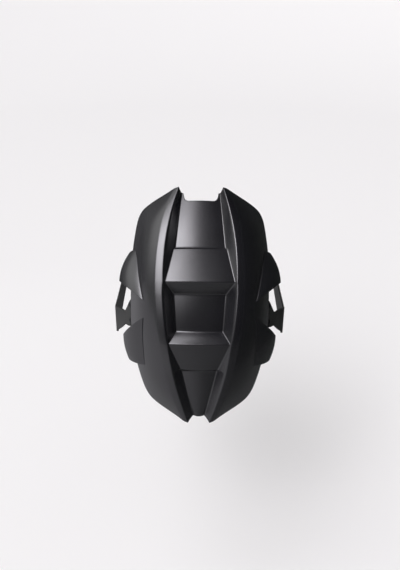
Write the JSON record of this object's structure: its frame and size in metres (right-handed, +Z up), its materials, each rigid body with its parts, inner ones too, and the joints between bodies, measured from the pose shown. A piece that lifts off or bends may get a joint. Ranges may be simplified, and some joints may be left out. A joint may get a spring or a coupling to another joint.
{
  "type": "rear hugger mudguard",
  "caption": "Rear hugger mudguard: moulded black shell with a stepped centre channel, crest lines and side fins, on bent steel straps that bolt to a swingarm.",
  "frame": {"origin": "midway between the straps, on the line of the front mounting bolts", "axes": "+X along the wheel axle to the right as seen from behind, -Y rearwards, +Z up"},
  "size_m": [0.268, 0.3867, 0.2936],
  "materials": {
    "shell_plastic": "satin moulded ABS",
    "strap_steel": "black powder coat",
    "screw_steel": "black oxide",
    "washer_steel": "zinc plated",
    "nut_steel": "zinc plated"
  },
  "bodies": {
    "root": {"shell": "shell_plastic", "left_strap": "strap_steel", "right_strap": "strap_steel", "left_screws": "screw_steel", "right_screws": "screw_steel", "left_washers": "washer_steel", "right_washers": "washer_steel", "left_nuts": "nut_steel", "right_nuts": "nut_steel"}
  },
  "joints": []
}
